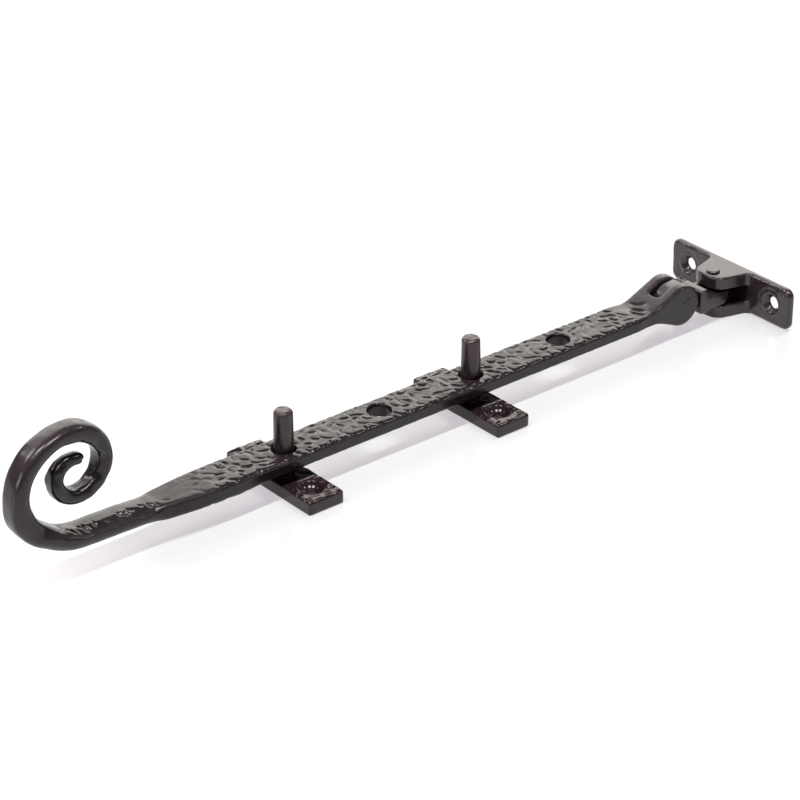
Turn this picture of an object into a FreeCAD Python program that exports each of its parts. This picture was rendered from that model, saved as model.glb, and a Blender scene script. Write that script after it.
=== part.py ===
import FreeCAD, Part

import math
import os

import Sketcher

Vector = FreeCAD.Vector

# A black forged casement stay, in millimetres.
#
# X runs along the bar, from the scroll handle at -X to the fixing bracket at +X.
# Y runs across the bar. Z points up, and the bracket and both peg plates stand on z = 0.
# The origin lies under the middle of the whole stay, so the scroll's outermost point
# and the back of the bracket are equally far from it. The whole stay is 305 mm long.

DIMENSIONS = {
    # Flat bar, lying this high above the floor to its middle
    "bar_height": 10.2,
    "bar_width": 14.0,
    "bar_thick": 4.8,
    "bar_bevel": 0.6,
    # Peg holes, counted from the one nearest the fork
    "hole_pitch": 39.2,
    "hole_dia": 8.3,
    "fork_to_hole": 53.0,
    # Taper from the bar to the neck, beyond the last hole, and the neck's straight run
    "taper_start": 26.0,
    "taper_length": 24.0,
    "shoulder_length": 3.0,
    "neck_length": 23.44,
    # Neck and scroll sections: where the scroll begins, in its eye, and at its tip
    "neck_width": 9.2,
    "neck_thick": 5.2,
    "eye_width": 6.3,
    "eye_thick": 3.9,
    "tip_width": 3.0,
    "tip_thick": 1.9,
    # How much fuller the sections are halfway to the eye than a steady taper would leave them
    "swell_width": 1.0,
    "swell_thick": 0.4,
    # Neck and scroll centre line: its rise above the bar's, then one bend after another
    "neck_rise": 0.95,
    "heel_radius": 27.0,
    "toe_radius": 14.5,
    "back_radius": 18.1,
    "crown_radius": 14.3,
    "inner_radius": 10.8,
    "eye_radius": 6.9,
    "tip_radius": 5.5,
    # Fork at the bracket end of the bar, and its horizontal rivet
    "pin_height": 11.1,
    "fork_radius": 7.5,
    "fork_slope": 23.0,
    "fork_hollow": 14.0,
    "slot_width": 5.4,
    "slot_depth": 8.4,
    "slot_corner": 1.6,
    "slot_bevel": 0.6,
    "fork_pin_dia": 4.5,
    # Rivets: how far their peened ends spread, and the play of the piece that turns on them
    "rivet_flare": 0.5,
    "running_play": 0.06,
    # Knuckle between the two rivets
    "pin_spacing": 21.0,
    "knuckle_side_play": 0.12,
    "knuckle_eye_radius": 6.0,
    "knuckle_web_reach": 3.5,
    "block_gap": 1.0,
    "block_thick": 3.4,
    "block_rise": 2.9,
    "block_bevel": 0.6,
    "tongue_thick": 5.0,
    "tongue_lift": 0.3,
    "tongue_width": 12.4,
    # Fixing bracket
    "bracket_length": 58.4,
    "bracket_height": 15.6,
    "bracket_thick": 2.6,
    "bracket_corner": 3.0,
    "bracket_bevel": 0.9,
    "bracket_screw_spacing": 41.0,
    "lug_thick": 4.6,
    "lug_reach": 12.4,
    "lug_slope": 15.0,
    "lug_nose": 14.4,
    "lug_corner": 5.2,
    "lug_fillet": 1.6,
    "lug_bevel": 0.4,
    "swivel_setback": 8.4,
    "swivel_pin_dia": 4.0,
    "swivel_head_dia": 4.8,
    "swivel_head_rise": 0.8,
    "swivel_head_bevel": 0.35,
    # Wood screw holes in the bracket and the peg plates
    "screw_dia": 4.2,
    "bracket_sink_dia": 7.6,
    "plate_sink_dia": 8.3,
    # Peg plates
    "plate_length": 43.4,
    "plate_width": 13.3,
    "plate_thick": 4.5,
    "plate_bevel": 0.35,
    "plate_screw_inset": 7.6,
    # Tapered pegs
    "peg_height": 26.4,
    "peg_base_dia": 7.0,
    "peg_top_dia": 6.1,
    "peg_top_bevel": 0.9,
    "peg_spigot_dia": 5.0,
}

# Degrees of turn of each bend of the scroll, in the order of the radii above
SCROLL_BENDS = (
    ("heel_radius", 45.0),
    ("toe_radius", 45.0),
    ("back_radius", 90.0),
    ("crown_radius", 45.0),
    ("inner_radius", 135.0),
    ("eye_radius", 90.0),
    ("tip_radius", 90.0),
)
# Sections along the neck and scroll stand about this far apart, and turn no more than this
SECTION_PITCH = 6.5
SECTION_TURN = 45.0
TIP_RUN = 4.6

# Headings of the centre line, in degrees: along the neck, and after the first two bends,
# where the scroll reaches furthest out
HEADING_TO_SCROLL = 180.0
HEADING_OUTERMOST = 90.0
BENDS_TO_OUTERMOST = 2

# Share of the neck's thickness, at any point of the scroll, that its bevels take
BEVEL_SHARE = 0.3

# Along the taper: share of its length, and share of the extra width that is left there
TAPER_STEPS = ((0.0, 1.0), (0.22, 0.95), (0.42, 0.82), (0.6, 0.62), (0.8, 0.36), (1.0, 0.14))

PEG_HOLES = 4
PEGGED_HOLES = {"scroll_end": 3, "middle": 1}

EDGE_SLACK = 1e-4
OVERRUN = 2.0

doc = FreeCAD.newDocument("CasementStay")
sheet = doc.addObject("Spreadsheet::Sheet", "Dims")
for row, (alias, number) in enumerate(DIMENSIONS.items(), start=1):
    sheet.set(f"A{row}", alias)
    sheet.set(f"B{row}", str(number))
    sheet.setAlias(f"B{row}", alias)
doc.recompute()


def size(expression):
    return float(sheet.evalExpression(expression))


# The centre line of the scroll, walked bend by bend from the point where it leaves the
# straight neck: distance walked, x, z and heading at each section
def scroll_walk():
    distance, x, z, heading = 0.0, 0.0, 0.0, HEADING_TO_SCROLL
    walk = [(distance, x, z, heading)]
    for radius_name, turn in SCROLL_BENDS:
        radius = size(f"Dims.{radius_name}")
        steps = math.ceil(max(turn / SECTION_TURN, radius * math.radians(turn) / SECTION_PITCH))
        for _ in range(steps):
            angle = math.radians(heading)
            step = math.radians(turn / steps)
            x += radius * (math.sin(angle) - math.sin(angle - step))
            z += radius * (math.cos(angle - step) - math.cos(angle))
            heading -= turn / steps
            distance += radius * step
            walk.append((distance, x, z, heading))
    angle = math.radians(heading)
    walk.append((distance + TIP_RUN, x + TIP_RUN * math.cos(angle), z + TIP_RUN * math.sin(angle), heading))
    return walk


# Width or thickness after a distance along the scroll: it swells a little and shrinks again
# up to the start of the last bend, and from there it shrinks quickly to the tip
def scroll_measure(name, distance, bend_start, full):
    if distance <= bend_start:
        share = max(distance, 0.0) / bend_start
        swell = 4 * share * (1 - share)
        steady = f"Dims.neck_{name} + (Dims.eye_{name} - Dims.neck_{name}) * {share:.4f}"
        return f"({steady} + Dims.swell_{name} * {swell:.4f})"
    share = (distance - bend_start) / (full - bend_start)
    return f"(Dims.eye_{name} + (Dims.tip_{name} - Dims.eye_{name}) * {share:.4f})"


# Distance along the scroll at which its last bend starts, and its whole length
def scroll_lengths(walk):
    full = walk[-1][0]
    last_radius, last_turn = SCROLL_BENDS[-1]
    return full - TIP_RUN - size(f"Dims.{last_radius}") * math.radians(last_turn), full


# How far the scroll stands out beyond the end of the neck, thickness included
def scroll_reach():
    heading = HEADING_TO_SCROLL
    terms = []
    for radius_name, turn in SCROLL_BENDS[:BENDS_TO_OUTERMOST]:
        terms.append(f"Dims.{radius_name} * (sin({heading - turn}) - sin({heading}))")
        heading -= turn
    walk = scroll_walk()
    outermost = next(distance for distance, _, _, way in walk if way <= HEADING_OUTERMOST)
    terms.append(f"{scroll_measure('thick', outermost, *scroll_lengths(walk))} / 2")
    return f"({' + '.join(terms)})"


# Places along the bar, worked out from the driving dimensions
BRACKET_TO_FORK = "(Dims.bracket_thick + Dims.swivel_setback + Dims.pin_spacing)"
FORK_TO_TAPER = f"(Dims.fork_to_hole + {PEG_HOLES - 1} * Dims.hole_pitch + Dims.taper_start)"
TAPER_TO_SCROLL = "(Dims.taper_length + Dims.shoulder_length + Dims.neck_length)"
BACK_X = f"(({BRACKET_TO_FORK} + {FORK_TO_TAPER} + {TAPER_TO_SCROLL} + {scroll_reach()}) / 2)"
FRONT_X = f"({BACK_X} - Dims.bracket_thick)"
SWIVEL_X = f"({FRONT_X} - Dims.swivel_setback)"
FORK_X = f"({SWIVEL_X} - Dims.pin_spacing)"
FIRST_HOLE_X = f"({FORK_X} - Dims.fork_to_hole)"
LAST_HOLE_X = f"({FIRST_HOLE_X} - {PEG_HOLES - 1} * Dims.hole_pitch)"
TAPER_X = f"({LAST_HOLE_X} - Dims.taper_start)"
BLOCK_X = f"({FORK_X} + Dims.fork_radius + Dims.block_gap)"
TONGUE_Z = "(Dims.lug_thick + Dims.tongue_lift)"
PIN_RISE = "(Dims.pin_height - Dims.bar_height)"


def hole_x(index):
    return f"({FIRST_HOLE_X} - {index} * Dims.hole_pitch)"


def new_body(label):
    body = doc.addObject("PartDesign::Body", label)
    body.Label = label
    return body


def plane_of(body, role):
    return next(part for part in body.Origin.OriginFeatures if part.Role == role)


# A sketch on one of the body's planes, lifted off it along the plane's normal
def new_sketch(body, role, name, lift="0"):
    sketch = body.newObject("Sketcher::SketchObject", name)
    sketch.AttachmentSupport = (plane_of(body, role), [""])
    sketch.MapMode = "FlatFace"
    sketch.setExpression("AttachmentOffset.Base.z", lift)
    return sketch


def drive(sketch, constraint, expression):
    index = sketch.addConstraint(constraint)
    sketch.setExpression(f"Constraints[{index}]", expression)


def pin_point(sketch, curve, end, x, y):
    drive(sketch, Sketcher.Constraint("DistanceX", -1, 1, curve, end, size(x)), x)
    drive(sketch, Sketcher.Constraint("DistanceY", -1, 1, curve, end, size(y)), y)


# A circular arc between two corners, less than a half turn: turn is +1 where the outline
# bends to the left on its way from start to finish, and -1 where it bends to the right
def arc_between(start, finish, radius, turn):
    chord = finish - start
    half = chord.Length / 2
    side = Vector(-chord.y, chord.x, 0).normalize() * turn
    centre = (start + finish) / 2 + side * math.sqrt(max(radius**2 - half**2, 0.0))
    first, last = (start, finish) if turn > 0 else (finish, start)
    begin = math.atan2(first.y - centre.y, first.x - centre.x)
    end = math.atan2(last.y - centre.y, last.x - centre.x)
    if end < begin:
        end += 2 * math.pi
    circle = Part.Circle(centre, Vector(0, 0, 1), radius)
    return Part.ArcOfCircle(circle, begin, end)


# A closed outline through corners given as pairs of expressions. arcs maps a corner's
# number to the radius and turn of the arc that leaves it; the other sides are straight
def draw_outline(sketch, corners, arcs=None):
    arcs = arcs or {}
    points = [Vector(size(x), size(y), 0) for x, y in corners]
    count = len(points)
    starts = []
    ends = []
    for index, start in enumerate(points):
        finish = points[(index + 1) % count]
        if index in arcs:
            radius, turn = arcs[index]
            curve = sketch.addGeometry(arc_between(start, finish, size(radius), turn))
            drive(sketch, Sketcher.Constraint("Radius", curve, size(radius)), radius)
            starts.append((curve, 1 if turn > 0 else 2))
            ends.append((curve, 2 if turn > 0 else 1))
        else:
            curve = sketch.addGeometry(Part.LineSegment(start, finish))
            starts.append((curve, 1))
            ends.append((curve, 2))
    for index, (x, y) in enumerate(corners):
        sketch.addConstraint(Sketcher.Constraint("Coincident", *ends[index - 1], *starts[index]))
        pin_point(sketch, *starts[index], x, y)


def draw_circle(sketch, x, y, diameter):
    centre = Vector(size(x), size(y), 0)
    curve = sketch.addGeometry(Part.Circle(centre, Vector(0, 0, 1), size(diameter) / 2))
    pin_point(sketch, curve, 3, x, y)
    drive(sketch, Sketcher.Constraint("Diameter", curve, size(diameter)), diameter)


# A rectangle, with its corners cut off or rounded where a corner size is given
def draw_rectangle(sketch, left, right, low, high, corner=None, rounded=True):
    if corner is None:
        draw_outline(sketch, [(left, low), (right, low), (right, high), (left, high)])
        return
    near_left, near_right = f"({left} + {corner})", f"({right} - {corner})"
    near_low, near_high = f"({low} + {corner})", f"({high} - {corner})"
    corners = [
        (near_left, low), (near_right, low),
        (right, near_low), (right, near_high),
        (near_right, high), (near_left, high),
        (left, near_high), (left, near_low),
    ]
    draw_outline(sketch, corners, {side: (corner, 1) for side in (1, 3, 5, 7)} if rounded else None)


# The eight-sided section of the forged bar: a rectangle with its four corners bevelled
def draw_bevelled(sketch, width, thickness, bevel, height):
    across, along = f"({width} / 2)", f"({thickness} / 2)"
    flat_x, flat_y = f"({across} - {bevel})", f"({along} - {bevel})"
    corners = [
        (f"-{flat_x}", f"{height} - {along}"), (flat_x, f"{height} - {along}"),
        (across, f"{height} - {flat_y}"), (across, f"{height} + {flat_y}"),
        (flat_x, f"{height} + {along}"), (f"-{flat_x}", f"{height} + {along}"),
        (f"-{across}", f"{height} + {flat_y}"), (f"-{across}", f"{height} - {flat_y}"),
    ]
    draw_outline(sketch, corners)


def pad(body, sketch, name, length, symmetric=False):
    feature = body.newObject("PartDesign::Pad", name)
    feature.Profile = sketch
    feature.SideType = "Symmetric" if symmetric else "One side"
    feature.setExpression("Length", length)
    doc.recompute()
    return feature


# A cut through the whole piece, both ways from the sketch. It has to take material away
def cut_through(body, sketch, name):
    before = body.Shape.Volume
    feature = body.newObject("PartDesign::Pocket", name)
    feature.Profile = sketch
    feature.SideType = "Symmetric"
    feature.Type = "ThroughAll"
    doc.recompute()
    if body.Shape.Volume >= before:
        raise ValueError(f"{name} cuts nothing")
    return feature


# Countersunk screw holes, sunk from the sketch's plane into the piece
def screw_holes(body, sketch, name, sink_dia, reverse):
    doc.recompute()
    before = body.Shape.Volume
    feature = body.newObject("PartDesign::Hole", name)
    feature.Profile = sketch
    feature.Reversed = reverse
    feature.DepthType = "ThroughAll"
    feature.HoleCutType = "Countersink"
    feature.HoleCutCustomValues = True
    feature.HoleCutCountersinkAngle = 90.0
    feature.setExpression("Diameter", "Dims.screw_dia")
    feature.setExpression("HoleCutDiameter", sink_dia)
    doc.recompute()
    if body.Shape.Volume >= before:
        raise ValueError(f"{name} cuts nothing")
    return feature


def chosen_edges(feature, wanted):
    edges = feature.Shape.Edges
    return [f"Edge{number}" for number, edge in enumerate(edges, start=1) if wanted(edge)]


def dress(body, kind, name, feature, wanted, measure):
    dressed = body.newObject(f"PartDesign::{kind}", name)
    dressed.Base = (feature, chosen_edges(feature, wanted))
    dressed.setExpression("Radius" if kind == "Fillet" else "Size", measure)
    doc.recompute()
    return dressed


def lies_at(edge, axis, place):
    box = edge.BoundBox
    low, high = {"x": (box.XMin, box.XMax), "y": (box.YMin, box.YMax), "z": (box.ZMin, box.ZMax)}[axis]
    return abs(low - place) < EDGE_SLACK and abs(high - place) < EDGE_SLACK


def is_round(edge):
    return isinstance(edge.Curve, Part.Circle)


# A turned piece: a half outline, radius against height, spun about its own upright axis
def turned_piece(label, corners):
    body = new_body(label)
    sketch = new_sketch(body, "XZ_Plane", f"{label}_profile")
    draw_outline(sketch, corners)
    spin = body.newObject("PartDesign::Revolution", f"{label}_turning")
    spin.Profile = sketch
    spin.ReferenceAxis = (sketch, ["V_Axis"])
    spin.Angle = 360.0
    doc.recompute()
    return body


# A bevelled section square to the centre line, at a point of the stay's middle plane
def section(body, number, x, z, heading, width, thickness, bevel):
    sketch = new_sketch(body, "YZ_Plane", f"arm_section_{number:02d}")
    sketch.setExpression("AttachmentOffset.Base.z", None)
    lean = FreeCAD.Rotation(Vector(1, 0, 0), HEADING_TO_SCROLL - heading)
    sketch.AttachmentOffset = FreeCAD.Placement(Vector(0, z, x), lean)
    draw_bevelled(sketch, width, thickness, bevel, "0")
    return sketch


# From the full bar down to the neck: a long slightly hollow taper, then a short shoulder
def taper_sections(body):
    start = size(TAPER_X)
    length = size("Dims.taper_length")
    z = size("Dims.bar_height")
    sections = []
    for share, left in TAPER_STEPS:
        width = f"(Dims.neck_width + (Dims.bar_width - Dims.neck_width) * {left})"
        x = start - share * length
        sections.append(
            section(body, len(sections), x, z, HEADING_TO_SCROLL, width, "Dims.bar_thick", "Dims.bar_bevel")
        )
    return sections


def scroll_section(body, number, distance, x, z, heading, bend_start, full):
    width = scroll_measure("width", distance, bend_start, full)
    thickness = scroll_measure("thick", distance, bend_start, full)
    return section(body, number, x, z, heading, width, thickness, f"({thickness} * {BEVEL_SHARE})")


# Every section from the shoulder's end, along the neck and round the scroll. The neck starts
# with its underside level with the bar's, and climbs from there to its full rise
def neck_and_scroll_sections(body, first_number):
    walk = scroll_walk()
    bend_start, full = scroll_lengths(walk)
    neck_run = size("Dims.neck_length")
    scroll_x = size(f"{TAPER_X} - {TAPER_TO_SCROLL}")
    climb = size("Dims.neck_rise - (Dims.neck_thick - Dims.bar_thick) / 2")
    pieces = math.ceil(neck_run / SECTION_PITCH)
    neck = []
    for index in range(pieces):
        left = 1 - index / pieces
        neck.append((0.0, neck_run * left, -climb * left**2, HEADING_TO_SCROLL))
    z = size("Dims.bar_height + Dims.neck_rise")
    return [
        scroll_section(body, number, distance, scroll_x + x, z + rise, heading, bend_start, full)
        for number, (distance, x, rise, heading) in enumerate(neck + walk, start=first_number)
    ]


def loft(body, name, sections, ruled):
    doc.recompute()
    feature = body.newObject("PartDesign::AdditiveLoft", name)
    feature.Profile = sections[0]
    feature.Sections = [(sketch, [""]) for sketch in sections[1:]]
    feature.Ruled = ruled
    doc.recompute()
    return feature


# One side of the fork's outline, from the bar to the disc round the rivet: a hollow, then a
# slope that touches the disc. side is + above the bar's middle and - below it, and rise is
# how far the rivet stands off that middle towards this side
def fork_flank(side, rise):
    radius, slope, half = "Dims.fork_radius", "Dims.fork_slope", "(Dims.bar_thick / 2)"
    touch_x, touch_z = f"({radius} * sin({slope}))", f"({radius} * cos({slope}) + {rise})"
    meet_x = f"({touch_x} + ({touch_z} - {half}) / tan({slope}))"
    reach = f"(Dims.fork_hollow * tan({slope} / 2))"
    hollow_x = f"({meet_x} - {reach} * cos({slope}))"
    hollow_z = f"({half} + {reach} * sin({slope}))"
    return [
        (f"({FORK_X} - {meet_x} - {reach})", f"(Dims.bar_height {side} {half})"),
        (f"({FORK_X} - {hollow_x})", f"(Dims.bar_height {side} {hollow_z})"),
        (f"({FORK_X} - {touch_x})", f"(Dims.bar_height {side} {touch_z})"),
    ]


# Where the fork's forging runs out into the plain bar
def fork_root():
    return f"({fork_flank('+', PIN_RISE)[0][0]} - {OVERRUN})"


def fork_outline():
    below, above = fork_flank("-", f"(-{PIN_RISE})"), fork_flank("+", PIN_RISE)
    nose = (f"({FORK_X} + Dims.fork_radius)", "Dims.pin_height")
    corners = [(fork_root(), below[0][1]), *below, nose, *above[::-1], (fork_root(), above[0][1])]
    hollow, disc = "Dims.fork_hollow", "Dims.fork_radius"
    return corners, {1: (hollow, -1), 3: (disc, 1), 4: (disc, 1), 6: (hollow, -1)}


# Bar, fork and scroll handle, forged in one piece
def make_stay_arm():
    body = new_body("stay_arm")
    head = new_sketch(body, "XZ_Plane", "fork_side")
    corners, arcs = fork_outline()
    draw_outline(head, corners, arcs)
    head_pad = pad(body, head, "fork_head", "Dims.bar_width", symmetric=True)
    side, root = size("Dims.bar_width / 2"), size(fork_root())
    bevelled = dress(
        body, "Chamfer", "fork_bevel", head_pad,
        lambda edge: any(lies_at(edge, "y", place) for place in (side, -side))
        and not lies_at(edge, "x", root),
        "Dims.bar_bevel",
    )
    if bevelled.Shape.Volume >= head_pad.Shape.Volume:
        raise ValueError("the fork keeps its sharp edges")

    bar = new_sketch(body, "YZ_Plane", "bar_section", TAPER_X)
    draw_bevelled(bar, "Dims.bar_width", "Dims.bar_thick", "Dims.bar_bevel", "Dims.bar_height")
    pad(body, bar, "flat_bar", f"{fork_root()} + {OVERRUN} - {TAPER_X}")

    taper = taper_sections(body)
    scroll = neck_and_scroll_sections(body, len(taper))
    loft(body, "taper_and_shoulder", taper + [scroll[0]], ruled=True)
    loft(body, "neck_and_scroll", scroll, ruled=False)

    slot = new_sketch(body, "XY_Plane", "fork_slot_outline")
    half = "(Dims.slot_width / 2)"
    inner, outer = f"({FORK_X} - Dims.slot_depth)", f"({FORK_X} + Dims.fork_radius + {OVERRUN})"
    corner = "Dims.slot_corner"
    draw_outline(
        slot,
        [
            (f"{inner} + {corner}", f"-{half}"), (outer, f"-{half}"),
            (outer, half), (f"{inner} + {corner}", half),
            (inner, f"{half} - {corner}"), (inner, f"{corner} - {half}"),
        ],
        {3: (corner, 1), 5: (corner, 1)},
    )
    slot_cut = cut_through(body, slot, "fork_slot")
    wall = size(half)
    dress(
        body, "Chamfer", "fork_slot_rims", slot_cut,
        lambda edge: any(lies_at(edge, "y", place) for place in (wall, -wall))
        and edge.BoundBox.XLength > EDGE_SLACK,
        "Dims.slot_bevel",
    )

    bore = new_sketch(body, "XZ_Plane", "fork_pin_circle")
    draw_circle(bore, FORK_X, "Dims.pin_height", "Dims.fork_pin_dia")
    bore_cut = cut_through(body, bore, "fork_pin_bore")
    bore_radius = size("Dims.fork_pin_dia / 2")
    dress(
        body, "Chamfer", "fork_pin_sinks", bore_cut,
        lambda edge: is_round(edge) and abs(edge.Curve.Radius - bore_radius) < EDGE_SLACK
        and any(lies_at(edge, "y", place) for place in (side, -side)),
        "Dims.rivet_flare",
    )

    hole = new_sketch(body, "XY_Plane", "peg_hole_circle")
    draw_circle(hole, LAST_HOLE_X, "0", "Dims.hole_dia")
    last_hole = cut_through(body, hole, "last_peg_hole")
    row = body.newObject("PartDesign::LinearPattern", "peg_hole_row")
    row.Originals = [last_hole]
    row.Direction = (hole, ["H_Axis"])
    row.Occurrences = PEG_HOLES
    row.setExpression("Length", f"{PEG_HOLES - 1} * Dims.hole_pitch")
    body.Tip = row
    doc.recompute()
    return body


# Links the horizontal rivet in the fork to the upright rivet in the bracket. A broad block
# stands between the two eyes, and the tongue leaves it lower than the fork's eye
def make_knuckle():
    body = new_body("knuckle")
    thickness = "(Dims.slot_width - 2 * Dims.knuckle_side_play)"
    eye = new_sketch(body, "XZ_Plane", "knuckle_eye_circle")
    draw_circle(eye, FORK_X, "Dims.pin_height", "2 * Dims.knuckle_eye_radius")
    pad(body, eye, "knuckle_eye", thickness, symmetric=True)
    web = new_sketch(body, "XZ_Plane", "knuckle_web_outline")
    eye_top = "(Dims.pin_height + Dims.knuckle_eye_radius)"
    eye_foot = "(Dims.pin_height - Dims.knuckle_eye_radius)"
    block_top = "(Dims.pin_height + Dims.block_rise)"
    middle = f"({BLOCK_X} + Dims.block_thick / 2)"
    draw_outline(
        web,
        [
            (FORK_X, eye_foot), (middle, eye_foot), (middle, block_top), (BLOCK_X, block_top),
            (f"({FORK_X} + Dims.knuckle_web_reach)", eye_top), (FORK_X, eye_top),
        ],
    )
    pad(body, web, "knuckle_web", thickness, symmetric=True)

    block = new_sketch(body, "XZ_Plane", "knuckle_block_outline")
    draw_rectangle(
        block, BLOCK_X, f"({BLOCK_X} + Dims.block_thick)",
        TONGUE_Z, block_top, "Dims.block_bevel", rounded=False,
    )
    block_pad = pad(body, block, "knuckle_block", "Dims.bar_width", symmetric=True)
    side = size("Dims.bar_width / 2")
    dress(
        body, "Chamfer", "knuckle_block_ends", block_pad,
        lambda edge: any(lies_at(edge, "y", place) for place in (side, -side)),
        "(Dims.block_bevel / 2)",
    )

    tongue = new_sketch(body, "XY_Plane", "knuckle_tongue_outline", TONGUE_Z)
    half = "(Dims.tongue_width / 2)"
    draw_outline(
        tongue,
        [
            (middle, f"-{half}"), (SWIVEL_X, f"-{half}"), (f"({SWIVEL_X} + {half})", "0"),
            (SWIVEL_X, half), (middle, half),
        ],
        {1: (half, 1), 2: (half, 1)},
    )
    pad(body, tongue, "knuckle_tongue", "Dims.tongue_thick")

    play = "2 * Dims.running_play"
    fork_bore = new_sketch(body, "XZ_Plane", "knuckle_fork_circle")
    draw_circle(fork_bore, FORK_X, "Dims.pin_height", f"(Dims.fork_pin_dia + {play})")
    cut_through(body, fork_bore, "knuckle_fork_bore")
    swivel_bore = new_sketch(body, "XY_Plane", "knuckle_swivel_circle")
    draw_circle(swivel_bore, SWIVEL_X, "0", f"(Dims.swivel_pin_dia + {play})")
    cut_through(body, swivel_bore, "knuckle_swivel_bore")
    return body


# The lugs from above: flanks that leave the plate through small hollows, draw in and run on
# into a nose with two round corners
def lug_outline():
    corner, slope = "Dims.lug_corner", "Dims.lug_slope"
    tip = f"({FRONT_X} - Dims.lug_reach)"
    turn_x, turn_y = f"({tip} + {corner})", f"(Dims.lug_nose / 2 - {corner})"
    touch_x, touch_y = f"({turn_x} - {corner} * sin({slope}))", f"({turn_y} + {corner} * cos({slope}))"
    inside = f"({FRONT_X} + Dims.bracket_thick / 2)"
    root = f"({touch_y} + ({FRONT_X} - {touch_x}) * tan({slope}))"
    fillet = "Dims.lug_fillet"
    reach = f"({fillet} / tan(45 + {slope} / 2))"
    spread, hollow_x = f"({root} + {reach})", f"({FRONT_X} - {reach} * cos({slope}))"
    hollow_y = f"({root} - {reach} * sin({slope}))"
    corners = [
        (inside, spread), (FRONT_X, spread), (hollow_x, hollow_y), (touch_x, touch_y), (tip, turn_y),
        (tip, f"-{turn_y}"), (touch_x, f"-{touch_y}"), (hollow_x, f"-{hollow_y}"),
        (FRONT_X, f"-{spread}"), (inside, f"-{spread}"),
    ]
    return corners, {1: (fillet, -1), 3: (corner, 1), 5: (corner, 1), 7: (fillet, -1)}


# Fixing bracket: two lugs that hold the knuckle's tongue, on an upright plate
def make_bracket():
    body = new_body("bracket")
    corners, arcs = lug_outline()
    outline = new_sketch(body, "XY_Plane", "lug_outline")
    draw_outline(outline, corners, arcs)
    pad(body, outline, "lug_block", "Dims.bracket_height")
    gap = new_sketch(body, "XZ_Plane", "lug_gap_outline")
    upper_floor = "(Dims.bracket_height - Dims.lug_thick)"
    draw_rectangle(gap, f"({FRONT_X} - Dims.lug_reach - {OVERRUN})", FRONT_X, "Dims.lug_thick", upper_floor)
    lugs = cut_through(body, gap, "lug_gap")
    top, front = size("Dims.bracket_height"), size(FRONT_X)
    bevelled = dress(
        body, "Chamfer", "lug_rim", lugs,
        lambda edge: lies_at(edge, "z", top) and edge.BoundBox.XMin < front - EDGE_SLACK,
        "Dims.lug_bevel",
    )
    if bevelled.Shape.Volume >= lugs.Shape.Volume:
        raise ValueError("the lugs keep their sharp edges")

    rim = "Dims.bracket_bevel"
    half = "(Dims.bracket_length / 2)"
    plate = new_sketch(body, "YZ_Plane", "bracket_plate_outline", f"{FRONT_X} + {rim}")
    draw_rectangle(plate, f"-{half}", half, "0", "Dims.bracket_height", "Dims.bracket_corner")
    pad(body, plate, "bracket_plate", f"Dims.bracket_thick - {rim}")
    face_line = new_sketch(body, "YZ_Plane", "bracket_face_outline", FRONT_X)
    draw_rectangle(
        face_line, f"({rim} - {half})", f"({half} - {rim})",
        rim, f"(Dims.bracket_height - {rim})", f"(Dims.bracket_corner - {rim})",
    )
    loft(body, "bracket_face", [plate, face_line], ruled=True)

    bore = new_sketch(body, "XY_Plane", "swivel_pin_circle")
    draw_circle(bore, SWIVEL_X, "0", "Dims.swivel_pin_dia")
    bore_cut = cut_through(body, bore, "swivel_pin_bore")
    dress(
        body, "Chamfer", "swivel_pin_sink", bore_cut,
        lambda edge: is_round(edge) and lies_at(edge, "z", 0.0)
        and abs(edge.Curve.Radius - size("Dims.swivel_pin_dia / 2")) < EDGE_SLACK,
        "Dims.rivet_flare",
    )

    screws = new_sketch(body, "YZ_Plane", "bracket_screw_circles", FRONT_X)
    for side in ("-", ""):
        place = f"({side}Dims.bracket_screw_spacing / 2)"
        draw_circle(screws, place, "Dims.bracket_height / 2", "Dims.screw_dia")
    screw_holes(body, screws, "bracket_screw_holes", "Dims.bracket_sink_dia", reverse=True)
    return body


# Horizontal rivet through the fork, peened flush in both cheeks
def make_fork_pin():
    radius, flare, half = "(Dims.fork_pin_dia / 2)", "Dims.rivet_flare", "(Dims.bar_width / 2)"
    body = turned_piece(
        "fork_pin",
        [
            ("0", f"-{half}"), (f"({radius} + {flare})", f"-{half}"), (radius, f"({flare} - {half})"),
            (radius, f"({half} - {flare})"), (f"({radius} + {flare})", half), ("0", half),
        ],
    )
    body.Placement = FreeCAD.Placement(Vector(0, 0, 0), FreeCAD.Rotation(Vector(1, 0, 0), 90))
    body.setExpression("Placement.Base.x", FORK_X)
    body.setExpression("Placement.Base.z", "Dims.pin_height")
    return body


# Upright rivet through the lugs, with a low bevelled head on top and its foot peened flush
def make_bracket_pin():
    radius, flare, top = "(Dims.swivel_pin_dia / 2)", "Dims.rivet_flare", "Dims.bracket_height"
    head, crown = "(Dims.swivel_head_dia / 2)", f"({top} + Dims.swivel_head_rise)"
    bevel = "Dims.swivel_head_bevel"
    body = turned_piece(
        "bracket_pin",
        [
            ("0", "0"), (f"({radius} + {flare})", "0"), (radius, flare),
            (radius, top), (head, top), (head, f"({crown} - {bevel})"),
            (f"({head} - {bevel})", crown), ("0", crown),
        ],
    )
    body.setExpression("Placement.Base.x", SWIVEL_X)
    return body


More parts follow.
